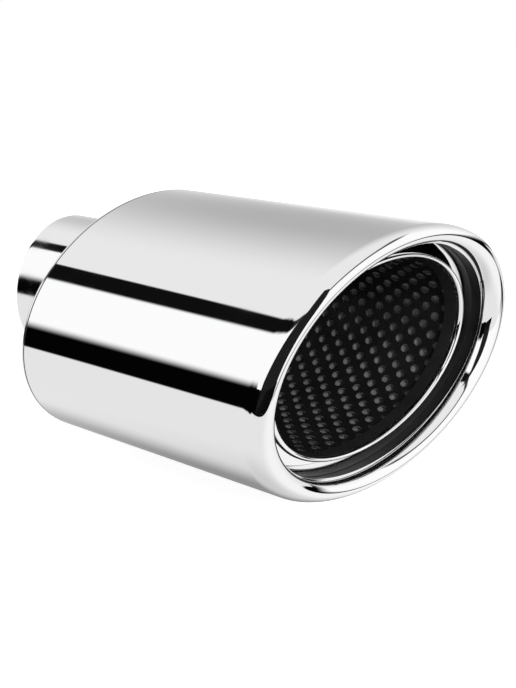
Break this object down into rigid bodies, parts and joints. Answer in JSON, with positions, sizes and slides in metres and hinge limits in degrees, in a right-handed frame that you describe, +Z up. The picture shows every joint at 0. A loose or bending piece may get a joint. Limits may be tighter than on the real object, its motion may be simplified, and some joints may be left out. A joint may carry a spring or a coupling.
{
  "type": "exhaust tip",
  "caption": "Oval polished exhaust tip with a rolled slash-cut lip, a recessed perforated core and a round slip-on inlet.",
  "frame": {"origin": "centre of the inlet pipe's open rear end", "axes": "+Y along the tube from the mouth to the inlet, the way the car's exhaust pipe leaves; +Z up, across the oval's short axis; +X across its long axis, towards the side where the slashed mouth reaches furthest forward"},
  "size_m": [0.15, 0.1805, 0.0974],
  "materials": {
    "polished_steel": "mirror polished",
    "black_coated_steel": "satin black coating",
    "grey_steel": "satin",
    "weld_steel": "as welded"
  },
  "bodies": {
    "root": {"outer_shell": "polished_steel", "throat_ring": "polished_steel", "core_collar": "black_coated_steel", "perforated_core": "black_coated_steel", "backing_sleeve": "grey_steel", "rear_cap": "polished_steel", "inlet_pipe": "polished_steel", "inlet_weld": "weld_steel"}
  },
  "joints": []
}
